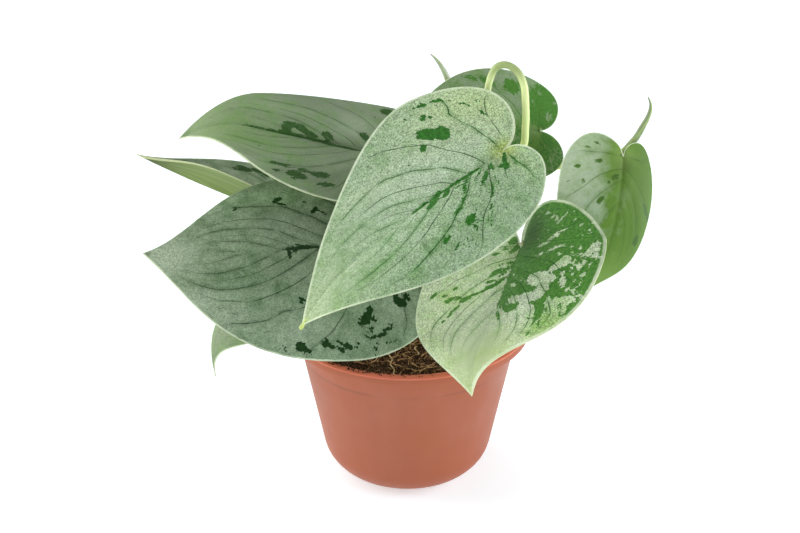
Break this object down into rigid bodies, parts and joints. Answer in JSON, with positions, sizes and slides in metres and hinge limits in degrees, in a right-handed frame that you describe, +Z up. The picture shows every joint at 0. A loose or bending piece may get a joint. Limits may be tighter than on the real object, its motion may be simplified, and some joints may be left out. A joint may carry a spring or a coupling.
{
  "type": "potted satin pothos",
  "caption": "Satin pothos with heart-shaped, silver-dappled leaves on arching stalks, growing in peat in a tapered terracotta-coloured plastic nursery pot.",
  "frame": {"origin": "centre of the pot's flat base, where it rests", "axes": "+Z up along the pot's axis; -Y towards the front, where the large front leaf hangs; +X to the right seen from the front"},
  "size_m": [0.2552, 0.1878, 0.2065],
  "materials": {
    "pot_plastic": "satin, moulded",
    "peat": "rough, moist",
    "green_stalk": "satin, fleshy",
    "silver_leaf": "matt with a fine glitter",
    "green_leaf": "satin"
  },
  "bodies": {
    "root": {"pot": "pot_plastic", "soil": "peat", "vine_left": "green_stalk", "vine_middle": "green_stalk", "vine_right": "green_stalk", "leaf_front": "silver_leaf", "leaf_low_left": "silver_leaf", "leaf_high_left": "silver_leaf", "leaf_left_edge": "silver_leaf", "leaf_low_tip": "green_leaf", "leaf_right_front": "green_leaf", "leaf_back": "green_leaf", "leaf_right": "green_leaf", "new_leaf_back": "green_leaf", "new_leaf_right": "green_leaf"}
  },
  "joints": []
}
